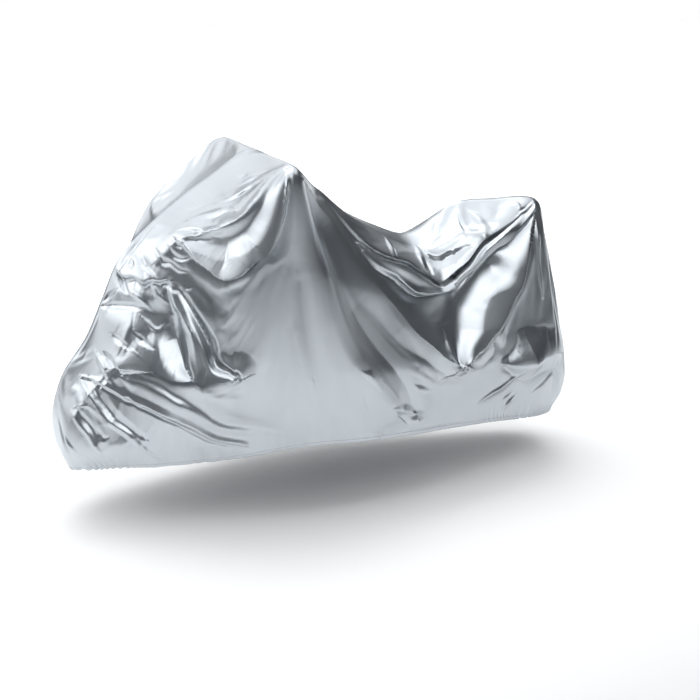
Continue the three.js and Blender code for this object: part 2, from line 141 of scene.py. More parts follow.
# The large folds, in which the whole weight of the side hangs
LEFT_FOLDS = [
    Fold("edge of the face", (3, 10, 6), 90, 40, crisp=1,
         path=[(-405, 130), (-365, 165), (-350, 190), (-325, 225), (-300, 270), (-270, 295), (-225, 310),
               (-203, 325)]),
    Fold("valley under the face", (-4, -9, -4), 50, 60, crisp=0.9,
         path=[(-355, 195), (-320, 255), (-300, 300), (-280, 325), (-250, 335), (-210, 335)]),
    Fold("lip of the pouch", (4, 50, 8), 40, 100, sink=(-3, -14, -4), gap=-14, lean=8, crisp=1,
         path=[(-202, 350), (-210, 420), (-220, 470), (-236, 495), (-260, 460), (-280, 450), (-305, 410),
               (-325, 345), (-345, 270), (-363, 170)]),
    Fold("narrow trough below the peak", (-3, -13, -3), 90, 34, crisp=0.5,
         path=[(-188, 360), (-187, 480), (-183, 620), (-172, 760), (-150, 900)]),
    Fold("lower edge of the dark band", (2, 11, 11), 60, 130, crisp=0.8, taper=(0.5, 0.8),
         path=[(-165, 370), (-138, 455), (-118, 510), (-80, 640), (-45, 665), (0, 655), (80, 690),
               (112, 697)]),
    Fold("upper edge of the dark band", (-4, -20, -12), 100, 60, crisp=1,
         path=[(-160, 350), (-110, 360), (-80, 405), (-40, 450), (5, 495), (58, 533), (110, 562), (160, 595),
               (202, 655)]),
    Fold("pocket edge from the peak", (6, 20, 32), 110, 80, sink=(-2, -10, -3), gap=-11, lean=4, crisp=1,
         path=[(-160, 340), (-110, 305), (-62, 290), (0, 310), (50, 338), (120, 362), (185, 398), (250, 430),
               (310, 492), (378, 548)]),
    Fold("pocket edge from the tail", (32, 38, 18), 150, 40, sink=(-3, -14, -5), gap=12, lean=6, crisp=1,
         taper=(0.7, 0.8),
         path=[(378, 548), (455, 535), (495, 505), (537, 455), (575, 375), (605, 320), (628, 237), (645, 167),
               (672, 90), (692, 12)]),
    Fold("valley of the pocket", (-4, -20, -20), 90, 90, crisp=0.6, taper=(0.5, 1),
         path=[(366, 530), (370, 450), (392, 370), (440, 320), (520, 270)]),
    Fold("edge of the upper swag", (2, 13, 3), 60, 20, sink=(-2, -14, -3), gap=13, lean=6, crisp=1,
         path=[(-95, 215), (0, 198), (60, 198), (112, 188), (195, 163), (240, 177), (280, 197), (325, 235),
               (378, 227), (442, 218), (497, 167), (550, 128), (600, 92), (648, 57), (695, 10)]),
    Fold("top of the roll", (3, 26, 12), 12, 50, crisp=0.5,
         path=[(20, 222), (75, 226), (140, 222), (200, 210), (255, 222), (300, 245)]),
    Fold("top of the roll, behind", (12, 28, 5), 12, 50, crisp=0.5,
         path=[(385, 258), (452, 246), (497, 205), (550, 156), (600, 113), (645, 74)]),
    Fold("rim of the lower swag", (4, 16, 4), 30, 90, sink=(-3, -30, -5), gap=18, lean=12, crisp=1,
         path=[(32, 240), (75, 250), (140, 252), (205, 258), (270, 260), (335, 273), (395, 288), (452, 275),
               (497, 240), (530, 204), (572, 172), (602, 133), (635, 97), (685, 28)]),
    Fold("trough above the front ledge", (-3, -18, -8), 50, 110, crisp=0.7,
         path=[(-535, 8), (-512, 60), (-483, 125), (-456, 190), (-417, 268)]),
    Fold("lip of the front ledge", (6, 34, 26), 140, 40, sink=(-4, -18, -6), gap=16, lean=10, crisp=1,
         path=[(-590, 180), (-540, 253), (-500, 316), (-464, 394), (-413, 488), (-397, 533), (-335, 660)]),
    Fold("crest of the first flute", (5, 24, 20), 60, 30, crisp=1,
         path=[(-400, 215), (-401, 273), (-395, 335), (-389, 388), (-392, 427), (-402, 470), (-412, 490)]),
    Fold("trough before the first flute", (-4, -22, -6), 30, 60, crisp=1,
         path=[(-408, 225), (-415, 262), (-426, 315), (-427, 361), (-425, 414), (-416, 468)]),
    Fold("crest of the second flute", (4, 18, 20), 26, 50, sink=(-4, -16, -8), gap=-24, lean=4, crisp=1,
         path=[(-400, 240), (-393, 295), (-388, 350), (-383, 400), (-378, 455), (-377, 495), (-370, 545),
               (-335, 660)]),
    Fold("brow", (4, 12, 6), 60, 50, sink=(-3, -12, -5), gap=16, lean=5, crisp=1,
         path=[(-446, 14), (-448, 60), (-439, 86), (-437, 130), (-426, 142), (-411, 180)]),
    Fold("top of the long dark band", (-2, -7, -2), 60, 40, crisp=0.5,
         path=[(-590, 190), (-570, 215), (-522, 320), (-478, 440), (-432, 560), (-386, 708), (-307, 900)]),
    Fold("foot of the long dark band", (2, 5, 2), 40, 40, crisp=0.5,
         path=[(-585, 235), (-540, 330), (-495, 440), (-450, 560), (-400, 700), (-335, 860)]),
    Fold("top of the rear skirt, in front", (6, 12, 4), 50, 60, crisp=0.8,
         path=[(400, 552), (470, 535), (528, 507), (545, 520)]),
    Fold("top of the rear skirt, behind", (8, 40, 14), 120, 60, crisp=0.7, taper=(0.3, 0.8),
         path=[(580, 606), (625, 606), (675, 585), (730, 525), (775, 440)]),
]

# The small creases that stay in the cloth over its large folds
LEFT_CREASES = [
    Fold("high crease of the face", (-2, -7, -1), 34, 9, crisp=1, path=[(-212, 252), (-228, 180)]),
    Fold("second crease of the face", (-2, -9, -1), 40, 12, crisp=1,
         path=[(-226, 243), (-239, 195), (-252, 176)]),
    Fold("long crease of the face", (-3, -12, -2), 46, 14, crisp=1,
         path=[(-232, 273), (-250, 226), (-268, 200), (-284, 164)]),
    Fold("broad crease of the face", (-6, -18, -3), 60, 22, crisp=1,
         path=[(-279, 256), (-290, 225), (-308, 195), (-328, 150)]),
    Fold("faint crease of the face", (-1, -4, -1), 26, 10, crisp=1,
         path=[(-287, 130), (-305, 100), (-322, 65)]),
    Fold("low crease of the face", (-2, -9, -2), 30, 11, crisp=1,
         path=[(-322, 235), (-335, 200), (-348, 152)]),
    Fold("last crease of the face", (-2, -7, -2), 16, 9, crisp=1,
         path=[(-336, 215), (-352, 190), (-362, 172)]),
    Fold("dent of the face", (-1, -5, -1), 20, 12, crisp=0.6, path=[(-240, 115), (-236, 160)]),
    Fold("small dent of the face", (-1, -4, -1), 20, 12, crisp=0.6, path=[(-280, 72), (-272, 165)]),
    Fold("crease beside the seam", (-2, -5, -3), 12, 26, crisp=0.8,
         path=[(-350, 20), (-400, 27), (-440, 30)]),
    Fold("first gather of the brow", (-2, -7, -2), 10, 12, crisp=1,
         path=[(-372, 165), (-362, 190), (-352, 212)]),
    Fold("second gather of the brow", (-3, -9, -2), 11, 12, crisp=1,
         path=[(-380, 125), (-380, 175), (-372, 207), (-357, 240)]),
    Fold("third gather of the brow", (-3, -10, -2), 12, 12, crisp=1,
         path=[(-388, 90), (-397, 150), (-388, 183), (-380, 221), (-367, 257)]),
    Fold("fourth gather of the brow", (-3, -8, -2), 14, 14, crisp=1,
         path=[(-417, 172), (-405, 212), (-390, 256), (-370, 297)]),
    Fold("first notch of the brow", (-4, -9, -2), 12, 12, crisp=1, path=[(-418, 35), (-429, 78)]),
    Fold("second notch of the brow", (-4, -11, -2), 13, 12, crisp=1,
         path=[(-407, 72), (-417, 108), (-413, 162)]),
    Fold("upright crease of the waist", (-3, -9, -3), 12, 16, crisp=1,
         path=[(-449, 20), (-458, 42), (-468, 68), (-470, 95)]),
    Fold("slanting crease of the waist", (-2, -7, -2), 14, 9, crisp=1,
         path=[(-535, 3), (-505, 25), (-480, 48)]),
    Fold("level crease of the waist", (-4, -9, -3), 10, 22, crisp=1,
         path=[(-535, 5), (-512, 48), (-489, 102), (-467, 150)]),
    Fold("first ray of the hollow", (2, 7, 3), 12, 10, crisp=1, path=[(-470, 78), (-462, 135), (-455, 180)]),
    Fold("second ray of the hollow", (2, 8, 3), 12, 10, crisp=1,
         path=[(-427, 125), (-426, 178), (-419, 233)]),
    Fold("soft fold behind the flutes", (1, 5, 1), 40, 40, crisp=0.2,
         path=[(-392, 240), (-373, 317), (-352, 418), (-333, 489), (-330, 549)]),
    Fold("white lens of the ledge", (2, 7, 2), 13, 9, crisp=1,
         path=[(-481, 153), (-473, 193), (-462, 235), (-434, 268)]),
    Fold("dark patch of the ledge", (-3, -9, -4), 20, 14, crisp=0.8,
         path=[(-514, 160), (-502, 208), (-485, 254)]),
    Fold("dark wedge of the ledge", (-2, -8, -3), 16, 12, crisp=1,
         path=[(-562, 83), (-553, 137), (-533, 190)]),
    Fold("fine crease of the ledge", (2, 7, 2), 8, 8, crisp=1, path=[(-545, 150), (-528, 205), (-515, 245)]),
    Fold("upper crease of the nose", (2, 7, 3), 11, 16, crisp=1,
         path=[(-615, 55), (-622, 78), (-625, 118), (-629, 160), (-625, 186)]),
    Fold("dark lens of the nose", (-3, -10, -4), 14, 14, crisp=1,
         path=[(-603, 88), (-604, 112), (-600, 155), (-592, 196)]),
    Fold("long fold off the nose", (4, 8, 3), 24, 12, sink=(-2, -6, -2), gap=9, crisp=1,
         path=[(-688, 70), (-663, 128), (-640, 182), (-605, 260), (-563, 347), (-521, 443), (-479, 542),
               (-438, 652), (-389, 770), (-345, 880)]),
    Fold("tongue of the nose", (2, 7, 3), 11, 30, crisp=1,
         path=[(-690, 65), (-697, 86), (-699, 128), (-698, 184), (-697, 228)]),
    Fold("dark band beside the tongue", (-3, -8, -3), 26, 13, crisp=1,
         path=[(-678, 88), (-681, 135), (-680, 190), (-668, 250), (-640, 320), (-610, 390)]),
    Fold("short fold off the nose", (2, 6, 2), 12, 16, crisp=1,
         path=[(-752, 92), (-719, 145), (-700, 197), (-683, 250), (-652, 322), (-626, 405), (-596, 480)]),
    Fold("last fold of the nose", (2, 7, 3), 12, 14, crisp=1,
         path=[(-760, 88), (-763, 130), (-759, 183), (-757, 228), (-750, 275)]),
    Fold("dark side of the last fold", (-2, -7, -2), 14, 11, crisp=1,
         path=[(-748, 95), (-748, 140), (-745, 190), (-742, 235)]),
    Fold("crumple over the front hem", (-2, -8, -2), 12, 14, crisp=1,
         path=[(-733, 205), (-727, 245), (-712, 262)]),
    Fold("low crease of the nose", (-2, -8, -2), 10, 14, crisp=1,
         path=[(-790, 45), (-803, 62), (-826, 97), (-836, 118)]),
    Fold("side crease of the nose", (2, 8, 2), 11, 11, crisp=1, path=[(-812, 75), (-818, 110), (-815, 150)]),
    Fold("upper hook of the dark band", (2, 5, 2), 22, 14, crisp=0.8, path=[(-5, 655), (25, 645), (60, 662)]),
    Fold("lower hook of the dark band", (2, 6, 2), 24, 12, crisp=0.8,
         path=[(112, 697), (145, 680), (178, 672), (205, 668)]),
    Fold("side hook of the dark band", (1, 4, 1), 16, 14, crisp=0.8,
         path=[(195, 580), (225, 588), (255, 590)]),
    Fold("thin line down the skirt", (-1, -4, -2), 9, 16, crisp=1, path=[(-8, 715), (15, 765), (40, 815)]),
    Fold("small crease over the hem", (-1, -3, -1), 12, 14, crisp=0.8,
         path=[(40, 820), (70, 808), (105, 795)]),
    Fold("crease in front of the dip", (2, 7, 2), 16, 12, crisp=1, path=[(112, 118), (125, 155), (140, 182)]),
    Fold("crease of the dip", (2, 8, 2), 16, 12, crisp=1, path=[(232, 78), (240, 125), (270, 172)]),
    Fold("fold in the dip", (-4, -13, -3), 14, 30, crisp=1,
         path=[(255, 92), (278, 122), (318, 152), (382, 156), (440, 162)]),
    Fold("knot of the dip", (-3, -9, -3), 12, 14, crisp=1, path=[(262, 110), (268, 150), (285, 185)]),
    Fold("upright crease of the rise", (-2, -8, -3), 12, 12, crisp=1,
         path=[(455, 35), (452, 85), (447, 130)]),
    Fold("curve of the rise", (2, 9, 3), 30, 16, crisp=0.8, path=[(490, 40), (505, 90), (500, 140)]),
    Fold("white lens before the tail", (2, 8, 2), 14, 10, crisp=1, path=[(625, 20), (632, 55), (652, 48)]),
    Fold("crease down the pocket", (3, 9, 3), 16, 12, crisp=1, path=[(372, 540), (345, 480), (328, 405)]),
    Fold("crest of the spike", (3, 11, 4), 12, 14, crisp=1,
         path=[(695, 20), (690, 110), (692, 180), (702, 258), (718, 330)]),
    Fold("crease round the rear", (-2, -9, -2), 12, 18, crisp=1,
         path=[(690, 695), (728, 630), (775, 505), (815, 400)]),
    Fold("slanting fold of the rear skirt", (2, 7, 2), 14, 9, sink=(-1, -5, -1), gap=8, crisp=1,
         path=[(457, 727), (538, 698), (612, 650), (645, 622)]),
    Fold("second slanting fold", (-2, -6, -1), 12, 9, crisp=1, path=[(565, 725), (612, 690)]),
    Fold("small fold over the rear hem", (3, 9, 2), 12, 10, crisp=1,
         path=[(580, 765), (592, 745), (625, 712)]),
]


def smooth_line(points, places, turn):
    """Points of the smooth line through a list of points, at places counted in points from the first. turn
    scales the slopes at the listed points, so that 0 gives straight runs."""
    points = np.asarray(points, float)
    chord = np.diff(points, axis=0)
    step = np.sqrt(np.linalg.norm(chord, axis=-1, keepdims=True))
    step[step == 0] = 1
    rise = chord / step
    share = step[1:] / (step[:-1] + step[1:])
    slope = np.concatenate([rise[:1], rise[:-1] * share + rise[1:] * (1 - share), rise[-1:]])
    k = np.minimum(places.astype(int), len(points) - 2)
    f = (places - k).reshape((-1,) + (1,) * (points.ndim - 1))
    reach = step[k] * turn
    pull = slope[k] * (f**3 - 2 * f**2 + f) * reach + slope[k + 1] * (f**3 - f**2) * reach
    return points[k] * (2 * f**3 - 3 * f**2 + 1) + points[k + 1] * (3 * f**2 - 2 * f**3) + pull


def even_places(line, count):
    """Places along a line of points that split its length evenly."""
    run = np.concatenate([[0], np.cumsum(np.linalg.norm(np.diff(line, axis=0), axis=-1))])
    return np.interp(np.linspace(0, run[-1], count), run, np.arange(len(line)))


# The grid of a side: its rows along the cover, its columns down the cloth, how round the cloth bends where
# one zone of a section meets the next, and how finely its lines are measured
GRID_ROWS = 620
GRID_DOWN = 400
TURN = 0.6
FINE_ALONG = 20
FINE_DOWN = 160


def hanging_side(changes):
    """The grid of points of one side without its folds: rows along the cover, columns down the cloth."""
    sections = [{**row, **changes.get(row["at"], {})} for row in SECTIONS]
    named = ("ridge", "flank", "skirt", "hem")
    knots = np.array([[(row["seam"][0], 0, row["seam"][1])] + [row[k] for k in named] for row in sections])
    rails = smooth_line(knots, np.linspace(0, len(knots) - 1, FINE_ALONG * len(knots)), 1)
    places = even_places(rails.reshape(len(rails), -1), GRID_ROWS)
    places = places * (len(knots) - 1) / (len(rails) - 1)
    rails = smooth_line(knots, places, 1)
    columns = smooth_line(rails.transpose(1, 0, 2), np.linspace(0, 4, FINE_DOWN), TURN)
    columns = columns.transpose(1, 0, 2)
    down = np.linspace(0, 1, GRID_DOWN)
    grid = []
    for column in columns:
        run = np.concatenate([[0], np.cumsum(np.linalg.norm(np.diff(column, axis=0), axis=-1))])
        grid.append(np.stack([np.interp(down * run[-1], run, column[:, k]) for k in range(3)], -1))
    return np.array(grid)


def outward(grid):
    """The outward direction at each point of a grid."""
    along = np.gradient(grid, axis=0)
    down = np.gradient(grid, axis=1)
    normal = np.cross(along, down)
    return normal / np.maximum(np.linalg.norm(normal, axis=-1, keepdims=True), 1e-9)


# The radius of the sharpest crease in mm, how a fold flattens out towards its edge, how much wider than its
# gap a tuck is, and how much of the lean is left at the ends of a fold
CREASE_RADIUS = 4
FLATTEN = 1.2
TUCK_WIDTH = 1.6
LEAN_AT_ENDS = 0.2


def pull(across, width_left, width_right, scale, crisp):
    """How strongly a line of the cloth holds the points at a distance across from it."""
    width = np.where(across > 0, width_left, width_right) * scale
    off = np.sqrt(across**2 + CREASE_RADIUS**2) / width
    return np.clip(1 - off, 0, None) ** FLATTEN / off ** (2 - crisp)


def route_over(grid, smooth, path):
    """The line on a side's grid along a fold's path. The smooth side tells where the path's places lie,
    because its columns divide the cloth evenly from the seam to the hem."""
    hem, down = smooth_line(path, np.linspace(0, len(path) - 1, 4 * len(path)), 1).T
    row = np.interp(hem, smooth[:, -1, 0], np.arange(len(smooth)))
    length = np.linalg.norm(np.diff(smooth, axis=1), axis=-1).sum(1)
    column = down / np.interp(row, np.arange(len(length)), length) * (GRID_DOWN - 1)
    k = np.clip(row.astype(int), 0, len(grid) - 2)
    m = np.clip(column.astype(int), 0, GRID_DOWN - 2)
    f, g = (row - k)[:, None], (column - m)[:, None]
    above = grid[k, m] * (1 - f) + grid[k + 1, m] * f
    below = grid[k, m + 1] * (1 - f) + grid[k + 1, m + 1] * f
    return above * (1 - g) + below * g


def hang_folds(grid, smooth, folds, keep):
    """Lifts the folds of a list out of a grid, and pushes their troughs in. smooth is the same side without
    folds, and keep is the share of the move that each point makes."""
    points = grid.reshape(-1, 3)
    flat_normals = outward(grid).reshape(-1, 3)
    held = np.ones(len(points))
    move = np.zeros_like(points)
    for fold in folds:
        route = route_over(grid, smooth, fold.path)
        reach = max(fold.left, fold.right) + abs(fold.gap)
        within = (points > route.min(0) - reach) & (points < route.max(0) + reach)
        inside = np.nonzero(within.all(-1))[0]
        near = points[inside]
        run = np.diff(route, axis=0)
        length = np.linalg.norm(run, axis=-1)
        best = np.full(len(near), np.inf)
        across = np.zeros(len(near))
        place = np.zeros(len(near))
        sideways = np.zeros_like(near)
        before = np.concatenate([[0], np.cumsum(length)])
        for k in range(len(run)):
            rel = near - route[k]
            part = np.clip(rel @ run[k] / length[k] ** 2, 0, 1)
            off = rel - part[:, None] * run[k]
            gap = np.linalg.norm(off, axis=-1)
            closer = np.nonzero(gap < best)[0]
            best[closer] = gap[closer]
            leftward = np.cross(run[k], flat_normals[inside[closer]]) / length[k]
            across[closer] = np.where((off[closer] * leftward).sum(-1) > 0, gap[closer], -gap[closer])
            place[closer] = (before[k] + part[closer] * length[k]) / before[-1]
            sideways[closer] = leftward
        scale = np.interp(place, (0, 0.3, 0.7, 1), (fold.taper[0], 1, 1, fold.taper[1]))
        lines = [(fold.lift, across, fold.left, fold.right, fold.lean)]
        if fold.sink:
            tuck = TUCK_WIDTH * abs(fold.gap)
            lip = (fold.left, tuck) if fold.gap > 0 else (tuck, fold.right)
            foot = (tuck, fold.right) if fold.gap > 0 else (fold.left, tuck)
            lines = [(fold.lift, across, *lip, fold.lean),
                     (fold.sink, across + fold.gap, *foot, -fold.lean)]
        for heights, offset, left, right, lean in lines:
            weight = pull(offset, left, right, scale, fold.crisp)
            height = np.interp(place, (0, 0.5, 1), heights)
            over = np.interp(place, (0, 0.5, 1), (LEAN_AT_ENDS, 1, LEAN_AT_ENDS))
            over = over * -lean * np.sign(fold.gap or 1)
            held[inside] += weight
            push = height[:, None] * flat_normals[inside] + over[:, None] * sideways
            move[inside] += weight[:, None] * push
    hung = grid + (move / held[:, None]).reshape(grid.shape) * keep[..., None]
    return hung, (1 - 1 / held).reshape(keep.shape) * keep


def down_the_cloth(grid):
    """How far down from the centre seam each point of a grid lies, measured over the cloth."""
    steps = np.linalg.norm(np.diff(grid, axis=1), axis=-1)
    return np.concatenate([np.zeros((len(grid), 1)), np.cumsum(steps, axis=1)], axis=1)


ROW_SPACING = 4.5
HEM_FADE = 60


def share_from_edges(grid, seam_fade, end_fade, at_hem):
    """The share of a fold that each point of a grid takes: less near the seam, the ends and the hem."""
    along = np.arange(len(grid))[:, None] * ROW_SPACING
    down = down_the_cloth(grid)
    up = down[:, -1:] - down
    ends = np.minimum(along, along[::-1]) / end_fade
    seam = np.clip(down / seam_fade, 0, 1)
    hem = at_hem + (1 - at_hem) * np.clip(up / HEM_FADE, 0, 1)
    return np.clip(ends, 0, 1) * seam * hem


def sheet_rows(grid, cell):
    """The rows of a mesh of a grid's surface: each row's points, one cell apart down the folded cloth, and
    how far down the cloth each point lies."""
    rows = []
    for row in grid:
        run = np.concatenate([[0], np.cumsum(np.linalg.norm(np.diff(row, axis=0), axis=-1))])
        spots = np.linspace(0, run[-1], max(6, round(run[-1] / cell)) + 1)
        rows.append((np.stack([np.interp(spots, run, row[:, k]) for k in range(3)], -1), spots))
    return rows


def sheet_triangles(rows):
    """The triangles between each row of a sheet and the next."""
    triangles = []
    a = 0
    for (row, _), (after, _) in zip(rows, rows[1:]):
        n, m = len(row) - 1, len(after) - 1
        b = a + n + 1
        i = j = 0
        while i < n or j < m:
            if j == m or (i < n and (i + 0.5) * m < (j + 0.5) * n):
                triangles.append((a + i, a + i + 1, b + j))
                i += 1
            else:
                triangles.append((a + i, b + j + 1, b + j))
                j += 1
        a = b
    return triangles


def sheet_object(name, points, triangles):
    """A sheet of cloth as an object, from points in mm."""
    mesh = bpy.data.meshes.new(name)
    mesh.from_pydata((points * MM).tolist(), [], triangles)
    mesh.shade_smooth()
    sheet = bpy.data.objects.new(name, mesh)
    bpy.context.scene.collection.objects.link(sheet)
    return sheet


# How the cloth settles: which of the grid's rows the simulation takes, its mesh cell in mm, its frames, and
# how often its result is evened out. LOOSE is how much longer and wider the cloth is than its hung shape
# where it is loose. The others say how firmly the cloth is held along its folds, between them and at a spot.
SETTLE_STEP = 2
SETTLE_CELL = 7
SETTLE_FRAMES = 9
SETTLE_EVEN = 4
TIGHT = 0
LOOSE = 0.022
HOLD_AT_FOLDS = 0.5
HOLD_BETWEEN = 0.06
FULL_NEAR = 0.3


def near_spots(points, spots):
    """How near each point is to the nearest of a list of spots, from 1 at the spot to 0 beyond its reach."""
    near = np.zeros(len(points))
    for x, out, z, reach in spots:
        away = np.linalg.norm(points - (x, out, z), axis=-1) / reach
        near = np.maximum(near, np.clip(1 + FULL_NEAR - away, 0, 1))
    return near


def settle(grid, firm, held_spots, loose_spots):
    """Lets a side of the cover settle under its own weight with Blender's cloth. The spare cloth in it
    buckles into wrinkles between the folds, most of all round the loose spots, and the cloth is held up at
    the held spots and along its folds. A spot is [x, distance out, z, reach]."""
    rows = sheet_rows(grid[::SETTLE_STEP], SETTLE_CELL)
    points = np.concatenate([row for row, _ in rows])
    sheet = sheet_object("settling", points, sheet_triangles(rows))
    spare = near_spots(points, loose_spots)
    firmness = []
    for (row, _), source in zip(rows, firm[::SETTLE_STEP]):
        spread = np.linspace(0, 1, len(row))
        firmness.append(np.interp(spread, np.linspace(0, 1, len(source)), source))
    hold = np.concatenate(firmness) * HOLD_AT_FOLDS + HOLD_BETWEEN
    hold = np.maximum(np.clip(hold, 0, 0.9), near_spots(points, held_spots))
    hold[: len(rows[0][0])] = 1
    hold[-len(rows[-1][0]) :] = 1
    hold[np.cumsum([0] + [len(row) for row, _ in rows[:-1]])] = 1
    for group, shares in (("hold", hold), ("loose", spare)):
        made = sheet.vertex_groups.new(name=group)
        for level in np.unique(np.round(shares, 2)):
            made.add(np.nonzero(np.round(shares, 2) == level)[0].tolist(), float(level), "REPLACE")
    cloth = sheet.modifiers.new("taffeta", "CLOTH")
    taffeta = cloth.settings
    taffeta.quality = 4
    taffeta.mass = 0.1
    taffeta.air_damping = 5
    taffeta.tension_stiffness = taffeta.compression_stiffness = 80
    taffeta.shear_stiffness = 40
    taffeta.bending_stiffness = 0.5
    taffeta.tension_damping = taffeta.compression_damping = taffeta.shear_damping = 20
    taffeta.bending_damping = 2
    taffeta.vertex_group_mass = "hold"
    taffeta.pin_stiffness = 1
    taffeta.vertex_group_shrink = "loose"
    taffeta.shrink_min = -TIGHT
    taffeta.shrink_max = -LOOSE
    cloth.collision_settings.use_collision = False
    cloth.point_cache.frame_end = SETTLE_FRAMES
    for step in range(1, SETTLE_FRAMES + 1):
        bpy.context.scene.frame_set(step)
    hung = sheet.evaluated_get(bpy.context.evaluated_depsgraph_get()).data
    found = np.empty(3 * len(points), np.float32)
    hung.vertices.foreach_get("co", found)
    moved = found.reshape(-1, 3) / MM - points
    mesh = sheet.data
    bpy.data.objects.remove(sheet)
    bpy.data.meshes.remove(mesh)
    bpy.context.scene.frame_set(1)
    change = []
    for row, _ in rows:
        change.append(smooth_line(moved[: len(row)], np.linspace(0, len(row) - 1, GRID_DOWN), 1))
        moved = moved[len(row) :]
    change = np.array(change)
    change = smooth_line(change, np.linspace(0, len(change) - 1, len(grid)), 1)
    for _ in range(SETTLE_EVEN):
        for axis in (0, 1):
            wide = np.pad(change, [(1, 1) if k == axis else (0, 0) for k in range(3)], mode="edge")
            count = change.shape[axis]
            beside = wide.take(range(count), axis) + wide.take(range(2, count + 2), axis)
            change = (beside + 2 * change) / 4
    return grid + change


# The hem: how deep it is turned in, how far its doubled cloth stands out, how far its edge rolls in, and how
# far up the cloth its gathers reach. The gathers change along it: the table gives the x at the hem from which
# and to which they run, how far apart they are and how deep. The seam draws in the cloth beside it. All is in
# mm.
HEM_DEPTH = 20
HEM_STEP = 0.8
HEM_ROLL = 6
GATHER_REACH = 75
GATHERS = [
    {"from": -900, "to": -660, "every": 19, "deep": 3.5},
    {"from": -700, "to": 500, "every": 58, "deep": 1.2},
    {"from": 460, "to": 900, "every": 17, "deep": 3.5},
]
GATHER_ENDS = 60
GATHER_WAVERS = [{"turns": 0.7, "over": 41}, {"turns": 0.5, "over": 23}]
SEAM_DRAW = 2
SEAM_REACH = 9


def finish_edges(grid, smooth):
    """Turns the hem in over its elastic, which gathers it unevenly, and draws the cloth in at the seam."""
    down = down_the_cloth(grid)
    up = down[:, -1:] - down
    hem = smooth[:, -1]
    run = np.concatenate([[0], np.cumsum(np.linalg.norm(np.diff(hem, axis=0), axis=-1))])
    waver = sum(row["turns"] * np.sin(run / row["over"]) for row in GATHER_WAVERS)
    height = HEM_STEP * np.clip((HEM_DEPTH - up) / 3, 0, 1)
    height = height - HEM_ROLL * np.clip(1 - up / HEM_ROLL, 0, 1) ** 2
    for row in GATHERS:
        share = np.clip((hem[:, 0] - row["from"]) / GATHER_ENDS, 0, 1)
        share = share * np.clip((row["to"] - hem[:, 0]) / GATHER_ENDS, 0, 1)
        wave = share * row["deep"] * np.sin(2 * np.pi * (run / row["every"] + waver))
        height += wave[:, None] * np.clip(1 - up / GATHER_REACH, 0, 1) ** 1.5
    height -= SEAM_DRAW * np.clip(1 - down / SEAM_REACH, 0, 1)
    return grid + outward(grid) * height[..., None]


# The mesh cell of a finished panel in mm, down the cloth
CLOTH_CELL = 4.7


def panel_piece(name, grid, side):
    """One panel of the cover, as a single sheet. Its first map gives the place on the flat cloth in metres,
    and its second one how far the place is from the hem and from the centre seam."""
    rows = sheet_rows(grid, CLOTH_CELL)
    points = np.concatenate([row for row, _ in rows]) * (1, side, 1)
    triangles = sheet_triangles(rows)
    if side > 0:
        triangles = [(a, c, b) for a, b, c in triangles]
    piece = sheet_object(name, points, triangles)
    facing = outward(grid)
    normals = []
    for row, source in zip(rows, facing):
        spots = np.linspace(0, 1, len(row[0]))
        columns = np.linspace(0, 1, GRID_DOWN)
        normals.append(np.stack([np.interp(spots, columns, source[:, k]) for k in range(3)], -1))
    normals = np.concatenate(normals) * (1, side, 1)
    piece.data.normals_split_custom_set_from_vertices(normals.tolist())
    down = np.concatenate([spots for _, spots in rows])
    middle = grid[:, GRID_DOWN // 3]
    run = np.concatenate([[0], np.cumsum(np.linalg.norm(np.diff(middle, axis=0), axis=-1))])
    along = np.concatenate([np.full(len(row), run[i]) for i, (row, _) in enumerate(rows)])
    up = np.concatenate([spots[-1] - spots for _, spots in rows])
    corners = np.array(triangles).ravel()
    for lay_name, across, along_it in (("cloth", along, down), ("edges", up, down)):
        lay = piece.data.uv_layers.new(name=lay_name)
        lay.data.foreach_set("uv", np.stack([across[corners], along_it[corners]], -1).ravel() * MM)
    return piece


# Where the left side's cloth is loose and where it is held up: [x, distance out, z, reach] in mm
LEFT_LOOSE = [
    (-600, 110, 690, 120), (-650, 110, 560, 120), (-750, 130, 320, 120), (-520, 150, 760, 110),
    (290, 130, 640, 90), (380, 230, 400, 80), (740, 120, 150, 110), (-800, 120, 180, 90),
]
LEFT_HELD = [(PEAK_X, PEAK_OUT, PEAK_TOP, 60), (748, 30, 770, 50), (-660, 30, 695, 30), (600, 60, 770, 60)]
FOLD_FADE = {"seam_fade": 40, "end_fade": 25, "at_hem": 0.45}
CREASE_FADE = {"seam_fade": 20, "end_fade": 20, "at_hem": 0.8}
left_side = hanging_side({})
left_keep = share_from_edges(left_side, **FOLD_FADE)
left_grid, left_firm = hang_folds(left_side, left_side, LEFT_FOLDS, left_keep)
left_grid = settle(left_grid, left_firm, LEFT_HELD, LEFT_LOOSE)
left_keep = share_from_edges(left_grid, **CREASE_FADE)
left_grid, _ = hang_folds(left_grid, left_side, LEFT_CREASES, left_keep)
left_panel = panel_piece("cover_left", finish_edges(left_grid, left_side), -1)


def to_linear(hex_colour):
    """An sRGB hex colour as linear light, with its alpha."""
    shares = [int(hex_colour[i : i + 2], 16) / 255 for i in (1, 3, 5)]
    return [c / 12.92 if c <= 0.04045 else ((c + 0.055) / 1.055) ** 2.4 for c in shares] + [1]


def add(tree, kind, settings={}, **inputs):
    """Adds a node to a tree, with its settings, and its inputs as values or as links from other nodes."""
    made = tree.nodes.new(kind)
    for name, value in settings.items():
        setattr(made, name, value)
    for name, value in inputs.items():
        key = int(name[1:]) if name[0] == "i" and name[1:].isdigit() else name.replace("_", " ")
        if isinstance(value, bpy.types.NodeSocket):
            tree.links.new(value, made.inputs[key])
        else:
            made.inputs[key].default_value = value
    return made


